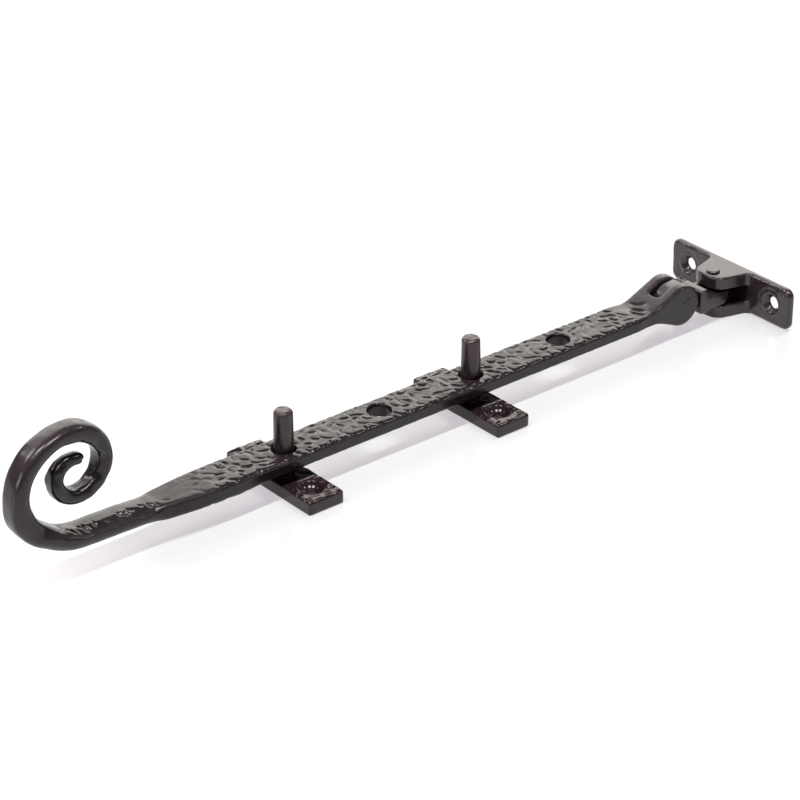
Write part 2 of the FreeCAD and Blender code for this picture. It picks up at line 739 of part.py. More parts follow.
# Peg plate: it lies across the bar, with a screw hole near each end and the peg's spigot
# hole in the middle
def make_peg_plate(label, place):
    body = new_body(label)
    outline = new_sketch(body, "XY_Plane", f"{label}_outline")
    half_x, half_y = "(Dims.plate_width / 2)", "(Dims.plate_length / 2)"
    draw_rectangle(outline, f"-{half_x}", half_x, f"-{half_y}", half_y)
    slab = pad(body, outline, f"{label}_slab", "Dims.plate_thick")
    top = size("Dims.plate_thick")
    bevelled = dress(
        body, "Chamfer", f"{label}_bevel", slab, lambda edge: lies_at(edge, "z", top), "Dims.plate_bevel"
    )
    if bevelled.Shape.Volume >= slab.Shape.Volume:
        raise ValueError(f"{label} keeps its sharp edges")

    spigot = new_sketch(body, "XY_Plane", f"{label}_spigot_circle")
    draw_circle(spigot, "0", "0", "Dims.peg_spigot_dia")
    cut_through(body, spigot, f"{label}_spigot_hole")

    screws = new_sketch(body, "XY_Plane", f"{label}_screw_circles", "Dims.plate_thick")
    for side in ("-", ""):
        draw_circle(screws, "0", f"{side}({half_y} - Dims.plate_screw_inset)", "Dims.screw_dia")
    screw_holes(body, screws, f"{label}_screw_holes", "Dims.plate_sink_dia", reverse=False)
    body.setExpression("Placement.Base.x", place)
    return body


# Tapered peg with a bevelled top, on a spigot that fills the plate's hole
def make_peg(label, place):
    spigot, floor = "(Dims.peg_spigot_dia / 2)", "Dims.plate_thick"
    base, top = "(Dims.peg_base_dia / 2)", "(Dims.peg_top_dia / 2)"
    bevel = "Dims.peg_top_bevel"
    body = turned_piece(
        label,
        [
            ("0", "0"), (spigot, "0"), (spigot, floor), (base, floor),
            (top, f"(Dims.peg_height - {bevel})"), (f"({top} - {bevel})", "Dims.peg_height"),
            ("0", "Dims.peg_height"),
        ],
    )
    body.setExpression("Placement.Base.x", place)
    return body


def make_all():
    bodies = [make_stay_arm(), make_knuckle(), make_bracket(), make_fork_pin(), make_bracket_pin()]
    for end, index in PEGGED_HOLES.items():
        bodies.append(make_peg_plate(f"peg_plate_{end}", hole_x(index)))
        bodies.append(make_peg(f"peg_{end}", hole_x(index)))
    return bodies


def check(bodies):
    for item in doc.Objects:
        if "Invalid" in item.State or "Error" in item.State:
            raise ValueError(f"{item.Label} failed: {item.State}")
    for body in bodies:
        if body.Shape.isNull() or not body.Shape.isValid() or len(body.Shape.Solids) != 1:
            raise ValueError(f"{body.Label} is not one sound solid")


def write(bodies):
    os.makedirs("parts", exist_ok=True)
    for body in bodies:
        body.Shape.exportStep(f"parts/{body.Label}.step")
        box = body.Shape.BoundBox
        print(
            f"{body.Label}: {body.Shape.Volume:.0f} mm3, x {box.XMin:.1f} to {box.XMax:.1f},"
            f" y {box.YMin:.1f} to {box.YMax:.1f}, z {box.ZMin:.1f} to {box.ZMax:.1f}"
        )


all_bodies = make_all()
doc.recompute()
check(all_bodies)
write(all_bodies)
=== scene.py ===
import math
import random
from functools import cached_property

import bmesh
import bpy
import numpy as np
from mathutils import Matrix, Vector, noise


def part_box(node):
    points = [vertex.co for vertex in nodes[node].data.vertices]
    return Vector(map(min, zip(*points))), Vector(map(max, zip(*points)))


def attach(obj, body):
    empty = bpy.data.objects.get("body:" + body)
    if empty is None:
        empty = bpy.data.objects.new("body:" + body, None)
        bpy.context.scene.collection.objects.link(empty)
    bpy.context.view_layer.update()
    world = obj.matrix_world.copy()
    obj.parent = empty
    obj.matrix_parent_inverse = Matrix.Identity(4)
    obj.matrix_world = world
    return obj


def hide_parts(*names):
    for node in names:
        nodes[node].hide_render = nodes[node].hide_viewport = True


# A black forged casement stay. Everything is in metres; mm turns millimetres into them.
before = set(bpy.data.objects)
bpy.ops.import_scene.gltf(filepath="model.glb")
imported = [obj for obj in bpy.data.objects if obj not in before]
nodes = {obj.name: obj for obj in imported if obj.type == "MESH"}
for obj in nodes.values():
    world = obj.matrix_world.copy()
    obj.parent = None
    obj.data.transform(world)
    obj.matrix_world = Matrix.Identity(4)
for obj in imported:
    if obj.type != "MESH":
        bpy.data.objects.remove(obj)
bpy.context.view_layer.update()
mm = 0.001
print("frame: loaded", len(nodes), "nodes")


# Shader maths, written as plain expressions

class Flow:
    def __init__(self, surface, socket):
        self.surface = surface
        self.socket = socket

    def apply(self, operation, *values):
        return self.surface.node("ShaderNodeMath", {"operation": operation}, dict(enumerate(values)))

    def __add__(self, other):
        return self.apply("ADD", self, other)

    def __radd__(self, other):
        return self.apply("ADD", other, self)

    def __sub__(self, other):
        return self.apply("SUBTRACT", self, other)

    def __rsub__(self, other):
        return self.apply("SUBTRACT", other, self)

    def __mul__(self, other):
        return self.apply("MULTIPLY", self, other)

    def __rmul__(self, other):
        return self.apply("MULTIPLY", other, self)

    def __abs__(self):
        return self.apply("ABSOLUTE", self)

    def clamped(self):
        return self.apply("MINIMUM", self.apply("MAXIMUM", self, 0.0), 1.0)


# The nodes of a material, or of the world
class Surface:
    def __init__(self, owner, shader):
        owner.use_nodes = True
        self.tree = owner.node_tree
        self.shader = self.tree.nodes[shader]

    # One node: its settings first, then the values or links of its sockets
    def node(self, kind, settings, inputs, output=0):
        made = self.tree.nodes.new(kind)
        for key, value in settings.items():
            setattr(made, key, value)
        for key, value in inputs.items():
            self.feed(made.inputs[key], value)
        return Flow(self, made.outputs[output])

    def feed(self, socket, value):
        if isinstance(value, Flow):
            self.tree.links.new(value.socket, socket)
        else:
            socket.default_value = value

    def finish(self, **inputs):
        for key, value in inputs.items():
            self.feed(self.shader.inputs[key.replace("_", " ")], value)

    @cached_property
    def place(self):
        return self.node("ShaderNodeTexCoord", {}, {}, "Object")

    def along(self, axis):
        return self.node("ShaderNodeSeparateXYZ", {}, {"Vector": self.place}, axis)

    def ray(self, kind):
        return self.node("ShaderNodeLightPath", {}, {}, f"Is {kind} Ray")

    def grain(self, scale, detail, rough=0.5, stretch=(1.0, 1.0, 1.0)):
        spot = self.node("ShaderNodeMapping", {}, {"Vector": self.place, "Scale": stretch})
        values = {"Vector": spot, "Scale": scale, "Detail": detail, "Roughness": rough}
        return self.node("ShaderNodeTexNoise", {}, values)

    def ramp(self, value, low, high):
        values = {"Value": value, "From Min": low, "From Max": high}
        return self.node("ShaderNodeMapRange", {"clamp": True}, values)

    # The Mix node's colours go by number, because its plain values have the same names
    def blend(self, share, first, second):
        first, second = (value if isinstance(value, Flow) else (*value, 1.0) for value in (first, second))
        return self.node("ShaderNodeMix", {"data_type": "RGBA"}, {0: share, 6: first, 7: second}, 2)

    def bump(self, height, distance):
        return self.node("ShaderNodeBump", {}, {"Height": height, "Distance": distance, "Strength": 1.0})


# The noises that all four finishes share
grains = {
    "cloud": {"scale": 90.0, "detail": 4.0},
    "fine": {"scale": 1500.0, "detail": 2.0},
    "peel": {"scale": 900.0, "detail": 2.0, "rough": 0.6},
    "wear": {"scale": 260.0, "detail": 3.0},
    "toneRange": (0.35, 0.68),
    "wearRange": (0.3, 0.7),
    "fineShare": 0.3,
}
paints = {
    "hammered_black": {
        "shine": 0.47, "tint": (1.0, 0.93, 0.95), "rough": (0.16, 0.26), "orangePeel": 0.012 * mm,
        "dark": (0.0075, 0.0042, 0.0055), "light": (0.016, 0.0097, 0.0125),
        "drawn": {
            "from": -0.103, "to": -0.078, "fade": 0.006, "height": 15.0, "matt": 0.22,
            "lines": {"scale": 1300.0, "detail": 3.0, "rough": 0.55, "stretch": (0.1, 1.0, 0.6)},
        },
        "greyerEnds": {
            "left": (-0.12, -0.1), "right": (0.098, 0.11), "colour": (0.028, 0.0205, 0.0245), "least": 0.6,
        },
    },
    "cast_black": {
        "shine": 0.82, "tint": (1.0, 0.93, 0.95), "rough": (0.16, 0.27), "orangePeel": 0.016 * mm,
        "dark": (0.009, 0.0045, 0.0062), "light": (0.026, 0.0165, 0.0205),
        # painted reflection: lighter vertical streaks in the base colour stand in for the lamps' streaky
        # reflections on the uneven cast faces
        "paintedReflectionStreaks": {
            "sheenBands": {"scale": 210.0, "detail": 2.0, "stretch": (1.0, 1.0, 0.3)},
            "range": (0.48, 0.72), "share": 0.6,
        },
    },
    "plate_black": {
        "shine": 0.62, "tint": (1.0, 0.87, 0.9), "rough": (0.05, 0.11), "orangePeel": 0.006 * mm,
        "dark": (0.007, 0.0032, 0.0042), "light": (0.016, 0.009, 0.0105),
    },
    "peg_black": {
        "shine": 0.78, "tint": (1.0, 0.82, 0.85), "rough": (0.22, 0.38), "orangePeel": 0.032 * mm,
        "dark": (0.009, 0.005, 0.006), "light": (0.03, 0.018, 0.02),
    },
}


# The taper between neck and bar, as a mask: its paint is thin and shows fine lines
def drawnPart(surface, drawn):
    x = surface.along(0)
    start = surface.ramp(x, drawn["from"], drawn["from"] + drawn["fade"])
    end = surface.ramp(x, drawn["to"] - drawn["fade"], drawn["to"])
    return start * (1 - end)


# The handle on the left and the fork on the right, as a mask: their base colour is greyer and lighter than
# along the bar
def greyerEndsMask(surface, greyerEnds, tone):
    x = surface.along(0)
    ends = 1 - surface.ramp(x, *greyerEnds["left"]) + surface.ramp(x, *greyerEnds["right"])
    return ends * (greyerEnds["least"] + tone * (1 - greyerEnds["least"]))


def paint(name):
    look = paints[name]
    material = bpy.data.materials.new(name)
    surface = Surface(material, "Principled BSDF")
    cloud, fine, peel, wear = (surface.grain(**grains[kind]) for kind in ("cloud", "fine", "peel", "wear"))
    share = grains["fineShare"]
    tone = surface.ramp(cloud * (1 - share) + fine * share, *grains["toneRange"])
    height = peel * (1 - share) + fine * share
    low, high = look["rough"]
    gloss = low + surface.ramp(wear, *grains["wearRange"]) * (high - low)
    if "drawn" in look:
        drawn = look["drawn"]
        bare = drawnPart(surface, drawn)
        height = height + surface.grain(**drawn["lines"]) * bare * drawn["height"]
        gloss = gloss + bare * drawn["matt"]
    # painted reflection: vertical light streaks are added to the colour's tone
    if "paintedReflectionStreaks" in look:
        paintedReflectionStreaks = look["paintedReflectionStreaks"]
        paintedSheenBand = surface.ramp(surface.grain(**paintedReflectionStreaks["sheenBands"]), *paintedReflectionStreaks["range"])
        tone = (tone + paintedSheenBand * paintedReflectionStreaks["share"]).clamped()
    colour = surface.blend(tone, look["dark"], look["light"])
    # the handle and the fork get a greyer, lighter base colour, patchy with the tone
    if "greyerEnds" in look:
        greyerEnds = look["greyerEnds"]
        colour = surface.blend(greyerEndsMask(surface, greyerEnds, tone), colour, greyerEnds["colour"])
    surface.finish(
        Base_Color=colour,
        Roughness=gloss,
        Normal=surface.bump(height, look["orangePeel"]),
        Specular_IOR_Level=look["shine"],
        Specular_Tint=(*look["tint"], 1.0),
    )
    return material


materials = {name: paint(name) for name in paints}
print("paint: mixed", len(materials), "finishes")


# Mesh tools

meshing = {"weld": 2e-6, "plugSides": 64, "pull": 0.5}


def addToScene(thing):
    bpy.context.scene.collection.objects.link(thing)
    return thing


def meshOf(bm, name):
    mesh = bpy.data.meshes.new(name)
    bm.to_mesh(mesh)
    bm.free()
    return mesh


def newPiece(name, mesh, body, slot, *replaced):
    piece = addToScene(bpy.data.objects.new(name, mesh))
    mesh.polygons.foreach_set("use_smooth", [True] * len(mesh.polygons))
    mesh.materials.clear()
    mesh.materials.append(materials[slot])
    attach(piece, body)
    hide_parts(*replaced)
    print("piece:", name, len(mesh.polygons), "faces")


def middleOf(node):
    low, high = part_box(node)
    return (low.x + high.x) / 2


def readMesh(mesh):
    points = np.zeros(len(mesh.vertices) * 3)
    normals = np.zeros(len(mesh.vertices) * 3)
    mesh.vertices.foreach_get("co", points)
    mesh.vertices.foreach_get("normal", normals)
    return points.reshape(-1, 3), normals.reshape(-1, 3)


def writeMesh(mesh, points):
    mesh.vertices.foreach_set("co", points.ravel())
    mesh.update()


# What one modifier makes of a mesh
def modified(mesh, kind, **settings):
    holder = addToScene(bpy.data.objects.new(mesh.name, mesh))
    modifier = holder.modifiers.new(kind.lower(), kind)
    for key, value in settings.items():
        setattr(modifier, key, value)
    result = bpy.data.meshes.new_from_object(holder.evaluated_get(bpy.context.evaluated_depsgraph_get()))
    bpy.data.objects.remove(holder)
    return result


# A copy of a solid, made of small even faces so that it can be hammered and worn. A plug is a
# short round bar across the piece, with its middle, radius and length
def evenCopy(node, look, plugs=()):
    bm = bmesh.new()
    bm.from_mesh(nodes[node].data)
    bmesh.ops.remove_doubles(bm, verts=bm.verts, dist=meshing["weld"])
    for middle, radius, length in plugs:
        turn = Matrix.Translation(middle) @ Matrix.Rotation(math.radians(90), 4, "X")
        bmesh.ops.create_cone(bm, cap_ends=True, segments=meshing["plugSides"],
                              radius1=radius, radius2=radius, depth=length, matrix=turn)
    even = modified(meshOf(bm, node + "Blank"), "REMESH", mode="VOXEL", voxel_size=look["grain"])
    bm = bmesh.new()
    bm.from_mesh(even)
    for _ in range(look["smoothing"]):
        bmesh.ops.smooth_vert(bm, verts=bm.verts, factor=meshing["pull"],
                              use_axis_x=True, use_axis_y=True, use_axis_z=True)
    bm.to_mesh(even)
    bm.free()
    return even


# Rounds off part of a mesh: each vertex drifts towards the middle of its neighbours, and the
# part then swells a little to regain its size
def soften(mesh, weights, rounding):
    ends = np.zeros(len(mesh.edges) * 2, dtype=np.int64)
    mesh.edges.foreach_get("vertices", ends)
    first, last = ends.reshape(-1, 2).T
    points, _ = readMesh(mesh)
    count = np.bincount(np.concatenate((first, last)), minlength=len(points))
    for _ in range(rounding["passes"]):
        middle = np.stack([
            np.bincount(first, values[last], len(points)) + np.bincount(last, values[first], len(points))
            for values in points.T
        ], axis=1) / count[:, None]
        points += (middle - points) * meshing["pull"] * weights[:, None]
    writeMesh(mesh, points)
    points, normals = readMesh(mesh)
    writeMesh(mesh, points + normals * (rounding["regain"] * weights)[:, None])


def ease(value, low, high):
    share = np.clip((value - low) / (high - low), 0.0, 1.0)
    return share * share * (3.0 - 2.0 * share)


# Soft uneven relief, from -1 to 1, at each point. Each seed reads another part of the noise
def relief(points, size, seed, stretch=(1.0, 1.0, 1.0)):
    shift = Vector((seed * 3.7, seed * 1.9, seed * 5.3))
    scale = Vector(stretch) / size
    return np.array([noise.noise(Vector(p) * scale + shift) for p in points])


# The same relief from 0 to 1
def patches(points, size, seed, stretch=(1.0, 1.0, 1.0)):
    return 0.5 + 0.5 * relief(points, size, seed, stretch)


# How far a face points up: a mark from above starts at the first number and is full at the second
upward = (0.3, 0.8)


# Hammer marks: how a furrow's walls and its lip lie in widths, how it narrows towards its ends,
# and how many places are tried for each mark
hammer = {
    "steep": 0.62, "gentle": 1.25, "narrowing": 0.35, "narrowest": 0.3,
    "lip": 0.32, "lipAt": 2.2, "lipWidth": 0.9, "reach": 2, "tries": 12,
}


# One mark, from its place, turn in degrees, length, width, depth and bend
def mark(x, y, turn, length, width, depth, bend):
    return x, y, math.radians(turn), length / 2, width / 2, depth, bend


# Short furrows scattered over a rectangle, no two nearer than the gap
def strikes(seed, area, look):
    left, right, low, high = area
    pick = random.Random(seed)
    gap = look["gap"]
    marks = []
    for _ in range(int((right - left) * (high - low) / gap ** 2 * hammer["tries"])):
        x, y = pick.uniform(left, right), pick.uniform(low, high)
        length, width = pick.uniform(*look["length"]), pick.uniform(*look["width"])
        depth, bend = pick.uniform(*look["depth"]), pick.uniform(-look["bend"], look["bend"])
        if pick.random() < look["along"]:
            turn = pick.gauss(look["turn"], look["spread"])
        else:
            turn = pick.uniform(0, 180)
        if all((x - other[0]) ** 2 + (y - other[1]) ** 2 > gap ** 2 for other in marks):
            marks.append(mark(x, y, turn, length, width, depth, bend))
    return marks


# How deep the marks sink each point (u, v). One wall of a mark is steep and the other slopes,
# with a low lip beyond it
def struck(u, v, marks):
    sunk = np.zeros(len(u))
    for x, y, turn, length, width, depth, bend in marks:
        reach = length * hammer["reach"]
        near = (np.abs(u - x) < reach) & (np.abs(v - y) < reach)
        du, dv = u[near] - x, v[near] - y
        side = 1.0 if math.cos(turn) - math.sin(turn) > 0 else -1.0
        along = du * math.cos(turn) + dv * math.sin(turn)
        across = side * (dv * math.cos(turn) - du * math.sin(turn)) - bend * along ** 2 / length
        wall = width * np.where(across > 0, hammer["steep"], hammer["gentle"])
        narrowed = (1 - hammer["narrowing"] * (along / length) ** 2).clip(hammer["narrowest"], 1)
        share = across / (wall * narrowed)
        lip = np.exp(-((across / width + hammer["lipAt"]) / hammer["lipWidth"]) ** 2)
        sunk[near] += depth * np.exp(-(along / length) ** 4) * (np.exp(-share ** 2) - hammer["lip"] * lip)
    return sunk


# Stay arm: bar, fork and scroll, forged in one piece

armLook = {
    "grain": 0.33 * mm,
    "smoothing": 2,
    "kept": 0.73,
    "neckEnd": -101 * mm,
    "neckFade": (2 * mm, 4 * mm),
    "rounding": {"passes": 34, "regain": 0.13 * mm, "fade": 3 * mm},
    "rivetEnd": {"x": 120.5 * mm, "z": 11.1 * mm, "radius": 3.1 * mm, "depth": 0.7 * mm, "side": 6.65 * mm},
    "scrollFill": {
        "middle": (-128.5 * mm, 34 * mm), "gap": 0.7 * mm, "facing": (0.1, 0.5),
        "core": 8.5 * mm, "coreFade": 2 * mm,
        "to": (-108 * mm, -102 * mm), "above": (14 * mm, 18 * mm), "outer": (-142 * mm, -136 * mm),
        "corners": ((-151 * mm, 20 * mm, 8 * mm, 1.15 * mm), (-124 * mm, 50 * mm, 9 * mm, 0.5 * mm)),
    },
    "barFill": {
        "neckTo": (-72 * mm, -60 * mm), "end": 98 * mm, "fade": 6 * mm, "low": (15 * mm, 20 * mm),
        "hole": 4.4 * mm, "holeEdge": 0.8 * mm,
        "top": 0.35 * mm, "side": (0.55 * mm, 0.8 * mm), "under": (0.0, 0.9 * mm),
    },
    "planing": {
        "under": 20 * mm, "beyond": 8 * mm, "step": 1 * mm, "window": 0.6 * mm, "fade": (4 * mm, 2 * mm),
    },
    "planed": (
        {"from": -130 * mm, "to": -104 * mm, "side": -1, "start": 1.6 * mm, "slope": 31.0},
        {"from": -46 * mm, "to": 98 * mm, "side": -1, "start": 6.95 * mm, "slope": 57.0},
        {"from": -46 * mm, "to": 98 * mm, "side": 1, "start": 7.35 * mm, "slope": 57.0},
    ),
    "hammered": {
        "from": -93 * mm, "to": 108 * mm, "rise": 13 * mm, "fall": (1 * mm, 2 * mm), "root": 98 * mm,
        "facing": (0.25, 0.8), "sunk": 0.1 * mm, "leastUnder": 0.03 * mm, "seeds": {1: 11, -1: 29},
        "ground": ((4.4 * mm, 0.15 * mm), (2.1 * mm, 0.045 * mm)),
    },
    "strokes": {
        "half": 7.4 * mm, "gap": 3.2 * mm, "length": (2.6 * mm, 5.4 * mm), "width": (1.1 * mm, 1.8 * mm),
        "depth": (0.22 * mm, 0.44 * mm), "bend": 0.55, "turn": -55.0, "spread": 27.0, "along": 0.78,
    },
    "dots": {
        "half": 7 * mm, "gap": 5 * mm, "length": (1.1 * mm, 1.7 * mm), "width": (0.9 * mm, 1.3 * mm),
        "depth": (0.12 * mm, 0.22 * mm), "bend": 0.1, "turn": 0.0, "spread": 40.0, "along": 0.0,
    },
    "rootMarks": ((106.3 * mm, 1.6 * mm), (103.8 * mm, -1 * mm), (101.9 * mm, -3 * mm)),
    "rootMark": {"turn": -62.0, "length": 5.4 * mm, "width": 1.5 * mm, "depth": 0.42 * mm, "bend": 0.1},
    "taper": {
        "from": (-108 * mm, -102 * mm), "to": (-86 * mm, -76 * mm), "depth": 0.09 * mm, "size": 2.4 * mm,
        "stretch": (0.35, 1.0, 1.0), "seed": 53,
    },
    "ridges": {
        "pitch": 1.4 * mm, "depth": 0.035 * mm, "slant": 0.35, "wander": 1.5, "size": 3 * mm, "seed": 5,
        "low": (16 * mm, 19 * mm), "from": (-136 * mm, -130 * mm), "beside": (-2.2 * mm, -1.2 * mm),
    },
    "tipSwell": {"x": -128 * mm, "z": 37.5 * mm, "reach": 3.2 * mm, "rise": 0.4 * mm},
    "dimples": {
        "waves": ((8 * mm, 41, 0.18 * mm), (4 * mm, 43, 0.09 * mm)), "proud": 0.06 * mm,
        "hollow": 7.5 * mm, "hollowDepth": 0.06 * mm, "hollowSeed": 7, "hollowEdge": 2.2,
    },
    "coil": {
        "reach": 8.5 * mm, "fade": 4 * mm, "size": 3.4 * mm, "seed": 47, "sunk": 0.4, "depth": 0.42 * mm,
    },
    "calm": {"size": 7 * mm, "seed": 51, "depth": 0.035 * mm},
    # along the neck's near upper edge: x and y, turn, then length, width and depth, lengths in mm
    "chips": (
        (-133.4, -1.9, -50, 2.0, 1.3, 0.4), (-132.3, -2.6, -70, 2.4, 1.0, 0.34),
        (-128.9, -1.4, -35, 2.2, 1.2, 0.42), (-127.3, -2.3, -62, 3.4, 1.5, 0.46),
        (-123.9, -2.2, -75, 2.2, 1.1, 0.3), (-119.4, -2.4, -15, 2.8, 0.9, 0.2),
        (-114.4, -2.1, -35, 2.8, 1.3, 0.42), (-112.6, -2.6, -70, 2.2, 1.2, 0.4),
        (-110.6, -1.6, -25, 3.0, 1.4, 0.5), (-106.6, -1.4, -20, 2.4, 1.1, 0.34),
        (-103.6, -2.5, -48, 2.8, 1.3, 0.42), (-101.4, -3.2, -70, 2.2, 1.1, 0.32),
        (-97.9, -3.0, -20, 3.0, 1.0, 0.22),
    ),
    "chipping": {"bend": 0.2, "facing": (-0.1, 0.3), "under": 20 * mm},
    "pits": (
        (119.8 * mm, 11 * mm, 0.4 * mm), (120.8 * mm, 12.9 * mm, 0.5 * mm),
        (122.8 * mm, 13.8 * mm, 0.45 * mm),
    ),
    "pitting": {"radius": 0.4 * mm, "facing": -0.7},
}


# The blank: holes for the rivet are closed flush with the cheeks, and the handle is rounded
def armBlank(look):
    end = look["rivetEnd"]
    spots = [Vector((end["x"], side * end["side"], end["z"])) for side in (1, -1)]
    mesh = evenCopy("stay_arm", look, [(spot, end["radius"], end["depth"]) for spot in spots])
    points, _ = readMesh(mesh)
    neckEnd, fade = look["neckEnd"], look["rounding"]["fade"]
    soften(mesh, 1 - ease(points[:, 0], neckEnd - fade, neckEnd + fade), look["rounding"])
    return mesh


# Brings the wraps of the scroll nearer to each other, and fills its outer corners
def filledScroll(points, normals, fill):
    x, _, z = points.T
    across, up = x - fill["middle"][0], z - fill["middle"][1]
    away = np.hypot(across, up) + 1e-9  # never quite zero
    outward = (normals[:, 0] * across + normals[:, 2] * up) / away
    here = 1 - ease(x, *fill["to"])
    here *= np.maximum(ease(z, *fill["above"]), 1 - ease(x, *fill["outer"]))
    core = 1 - ease(away, fill["core"], fill["core"] + fill["coreFade"])
    facing = np.maximum(ease(-outward, *fill["facing"]), ease(outward, *fill["facing"]) * core)
    amount = facing * fill["gap"]
    for cx, cz, reach, rise in fill["corners"]:
        near = np.exp(-(((x - cx) ** 2 + (z - cz) ** 2) / reach ** 2))
        amount += near * rise * ease(np.abs(outward), *fill["facing"])
    return points + normals * (amount * here)[:, None] * np.array((1.0, 0.0, 1.0))


# Makes the bar fuller, and the neck most at its sides and underneath. Of each pair of amounts,
# the first is for the bar and the second for the neck
def filledBar(points, normals, fill):
    x, y, z = points.T
    low = (1 - ease(z, *fill["low"])) * (1 - ease(x, fill["end"], fill["end"] + fill["fade"]))
    neck = 1 - ease(x, *fill["neckTo"])
    outside = np.maximum(ease(np.abs(y), fill["hole"], fill["hole"] + fill["holeEdge"]), neck)
    side, under = ((1 - neck) * fill[key][0] + neck * fill[key][1] for key in ("side", "under"))
    rise = np.where(normals[:, 2] > 0, fill["top"], under) * normals[:, 2]
    return points + np.stack((0 * x, normals[:, 1] * side * outside * low, rise * low), axis=1)


# Takes a long upper edge down to a slanting flat, measured from the highest points beside it
def planed(points, cut, planing):
    x, y, z = points.T
    start, end, slope = cut["from"], cut["to"], math.radians(cut["slope"])
    places = np.arange(start - planing["beyond"], end + planing["beyond"], planing["step"])
    low = z < planing["under"]
    tops = [z[low & (np.abs(x - place) < planing["window"])].max() for place in places]
    out, up = y * cut["side"] - cut["start"], z - np.interp(x, places, tops)
    outer, inner = planing["fade"]
    share = ease(x, start - outer, start + inner) * (1 - ease(x, end - inner, end + outer))
    depth = np.maximum(out * math.sin(slope) + up * math.cos(slope), 0) * share * low
    return points - depth[:, None] * np.array((0.0, cut["side"] * math.sin(slope), math.cos(slope)))


# The marks on one face of the bar, and three slanted ones side by side at the fork's root
def barMarks(look, seed):
    bar = look["hammered"]
    marks = []
    for shift, kind in enumerate(("strokes", "dots")):
        half = look[kind]["half"]
        marks += strikes(seed + shift, (bar["from"], bar["to"], -half, half), look[kind])
    rootMarks = [mark(x, y, **look["rootMark"]) for x, y in look["rootMarks"]]
    return [placed for placed in marks if placed[0] < bar["root"]] + rootMarks


# How deep the hammer sinks the bar's top, side 1, or its underside, side -1
def hammered(points, normals, look, side):
    bar = look["hammered"]
    x, y, _ = points.T
    onBar = ease(x, bar["from"], bar["from"] + bar["rise"])
    onBar = onBar * (1 - ease(x, bar["to"] - bar["fall"][0], bar["to"] + bar["fall"][1]))
    seed = bar["seeds"][side]
    wave = sum(relief(points, size, seed + 3) * rise for size, rise in bar["ground"])
    depth = struck(x, y, barMarks(look, seed)) + bar["sunk"] + wave
    if side < 0:
        depth = np.maximum(depth, bar["leastUnder"])
    return ease(normals[:, 2] * side, *bar["facing"]) * onBar * depth


# Shallow lines along the top of the taper
def taperLines(points, normals, taper):
    x = points[:, 0]
    here = ease(normals[:, 2], *upward) * ease(x, *taper["from"]) * (1 - ease(x, *taper["to"]))
    return here * patches(points, taper["size"], taper["seed"], taper["stretch"]) * taper["depth"]


# Fine cross ridges on top of the neck
def neckRidges(points, normals, ridges):
    x, y, z = points.T
    here = ease(normals[:, 2], *upward) * (1 - ease(z, *ridges["low"])) * ease(x, *ridges["from"])
    slant = (x + y * ridges["slant"]) * math.tau / ridges["pitch"]
    wander = ridges["wander"] * relief(points, ridges["size"], ridges["seed"])
    return here * ease(y, *ridges["beside"]) * ridges["depth"] * (0.5 + 0.5 * np.sin(slant + wander))


# Shallow hollows that meet at low ridges, from 0 at a ridge to 1 in the middle of a hollow
def hollows(points, look, chosen):
    depth = np.zeros(len(points))
    seed = look["hollowSeed"]
    shift = Vector((seed * 2.3, seed * 4.1, seed * 1.7))
    for index in np.flatnonzero(chosen):
        nearest = noise.voronoi(Vector(points[index]) / look["hollow"] + shift)[0]
        depth[index] = min((nearest[1] - nearest[0]) * look["hollowEdge"], 1.0)
    return depth


# How far the handle swells or sinks: dimples and gentle flats, rougher in the inner coil
def handleForging(points, look, neck):
    x, _, z = points.T
    swell, coil, dimples = look["tipSwell"], look["coil"], look["dimples"]
    tip = np.exp(-(((x - swell["x"]) ** 2 + (z - swell["z"]) ** 2) / swell["reach"] ** 2)) * swell["rise"]
    middle = look["scrollFill"]["middle"]
    inner = 1 - ease(np.hypot(x - middle[0], z - middle[1]), coil["reach"], coil["reach"] + coil["fade"])
    out = sum(relief(points, size, seed) * rise for size, seed, rise in dimples["waves"])
    out -= hollows(points, dimples, neck > 0) * dimples["hollowDepth"]
    out += (relief(points, coil["size"], coil["seed"]) - coil["sunk"]) * coil["depth"] * inner
    return tip + np.minimum(out, dimples["proud"])


def chipped(points, normals, look):
    x, y, z = points.T
    chipping = look["chipping"]
    marks = [
        mark(cx * mm, cy * mm, turn, length * mm, width * mm, depth * mm, chipping["bend"])
        for cx, cy, turn, length, width, depth in look["chips"]
    ]
    return struck(x, y, marks) * ease(normals[:, 2], *chipping["facing"]) * (y < 0) * (z < chipping["under"])


# Small pits in the fork's near cheek
def pitted(points, normals, look):
    x, _, z = points.T
    pitting = look["pitting"]
    return sum(
        depth * np.exp(-(((x - px) ** 2 + (z - pz) ** 2) / pitting["radius"] ** 2))
        for px, pz, depth in look["pits"]
    ) * (normals[:, 1] < pitting["facing"])


def makeArm():
    look = armLook
    mesh = armBlank(look)
    points, normals = readMesh(mesh)
    points = filledScroll(points, normals, look["scrollFill"])
    points = filledBar(points, normals, look["barFill"])
    for cut in look["planed"]:
        points = planed(points, cut, look["planing"])
    neckEnd, (before, after) = look["neckEnd"], look["neckFade"]
    neck = 1 - ease(points[:, 0], neckEnd - before, neckEnd + after)
    calm = relief(points, look["calm"]["size"], look["calm"]["seed"]) * look["calm"]["depth"]
    out = handleForging(points, look, neck) * neck + np.minimum(calm, 0.0) * (1 - neck)
    out -= chipped(points, normals, look)
    moved = points + normals * out[:, None]
    for side in (1, -1):
        moved[:, 2] -= side * hammered(points, normals, look, side)
    moved[:, 2] -= taperLines(points, normals, look["taper"])
    moved[:, 2] -= neckRidges(points, normals, look["ridges"]) * neck
    moved[:, 1] += pitted(points, normals, look)
    writeMesh(mesh, moved)
    thinned = modified(mesh, "DECIMATE", ratio=look["kept"])
    newPiece("hammeredArm", thinned, "arm", "hammered_black", "stay_arm")


makeArm()


# Knuckle and bracket: castings with uneven faces

